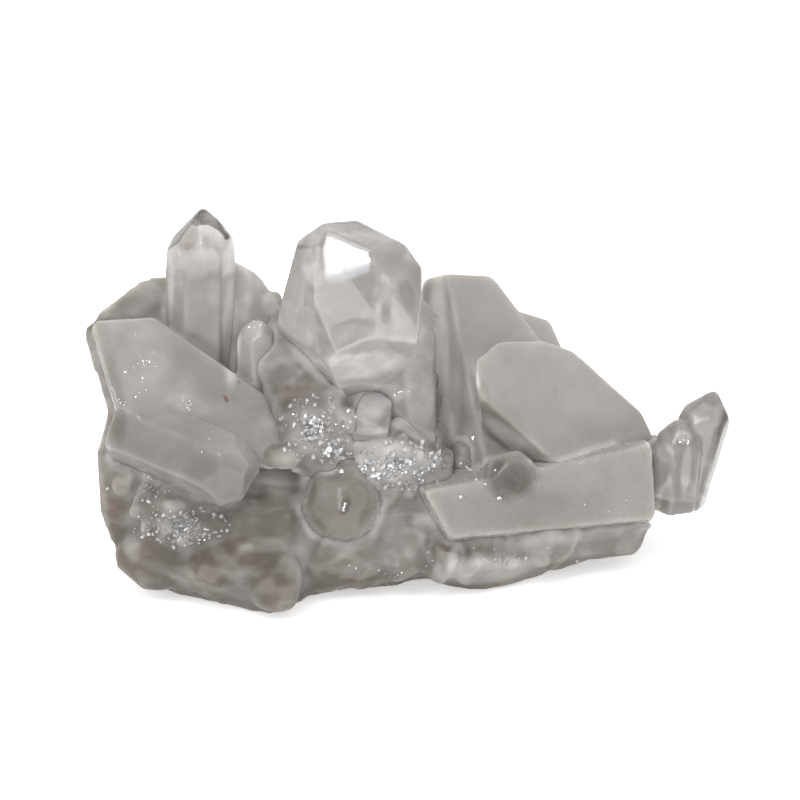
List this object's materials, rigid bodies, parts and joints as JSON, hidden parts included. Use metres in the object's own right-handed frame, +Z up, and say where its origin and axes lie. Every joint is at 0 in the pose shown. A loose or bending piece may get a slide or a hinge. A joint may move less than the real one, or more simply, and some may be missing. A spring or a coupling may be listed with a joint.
{
  "type": "quartz crystal cluster",
  "caption": "Palm-sized cluster of clear to cloudy quartz points and blades grown on a rough crystal base, cut flat underneath to stand on a shelf or desk.",
  "frame": {"origin": "on the flat cut underneath, at the middle of the box around the cluster", "axes": "+X along the cluster, towards the end with the separate small crystals; -Y towards the front, where the broad crystal faces look; +Z up from the flat cut"},
  "size_m": [0.101, 0.0486, 0.0557],
  "materials": {
    "clear_quartz": "polished natural crystal faces, clear at the tips and milky towards the foot",
    "cloudy_quartz": "smooth natural crystal faces over milky, slightly smoky quartz",
    "base_rock": "rough broken and pitted quartz, smoky grey-brown, with a sparkling crust of small crystals"
  },
  "bodies": {
    "root": {"matrix": "base_rock", "main_crystals": "clear_quartz", "left_crystals": "cloudy_quartz", "back_crystals": "cloudy_quartz", "front_crystals": "cloudy_quartz", "front_nub": "cloudy_quartz", "small_block": "cloudy_quartz", "end_crystals": "clear_quartz"}
  },
  "joints": []
}
